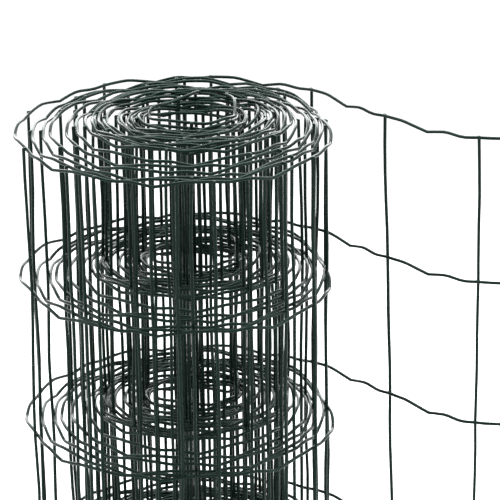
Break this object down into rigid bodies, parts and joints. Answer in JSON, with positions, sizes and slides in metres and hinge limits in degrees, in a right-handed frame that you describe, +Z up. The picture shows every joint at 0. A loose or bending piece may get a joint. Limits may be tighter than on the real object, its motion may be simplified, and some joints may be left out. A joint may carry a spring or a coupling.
{
  "type": "roll of welded wire fencing",
  "caption": "Roll of plastic-coated welded wire fencing standing on its end, with crimped line wires, a round bore and the free end of the mesh leaving it.",
  "frame": {"origin": "on the floor, on the axis of the roll's bore", "axes": "+Z up along the bore; the free end leaves the roll at +Y and runs out to +X"},
  "size_m": [0.3798, 0.2129, 1.0063],
  "materials": {
    "coated_wire": "semi-gloss dark green plastic coat over steel wire"
  },
  "bodies": {
    "root": {"fence_roll": "coated_wire"}
  },
  "joints": []
}
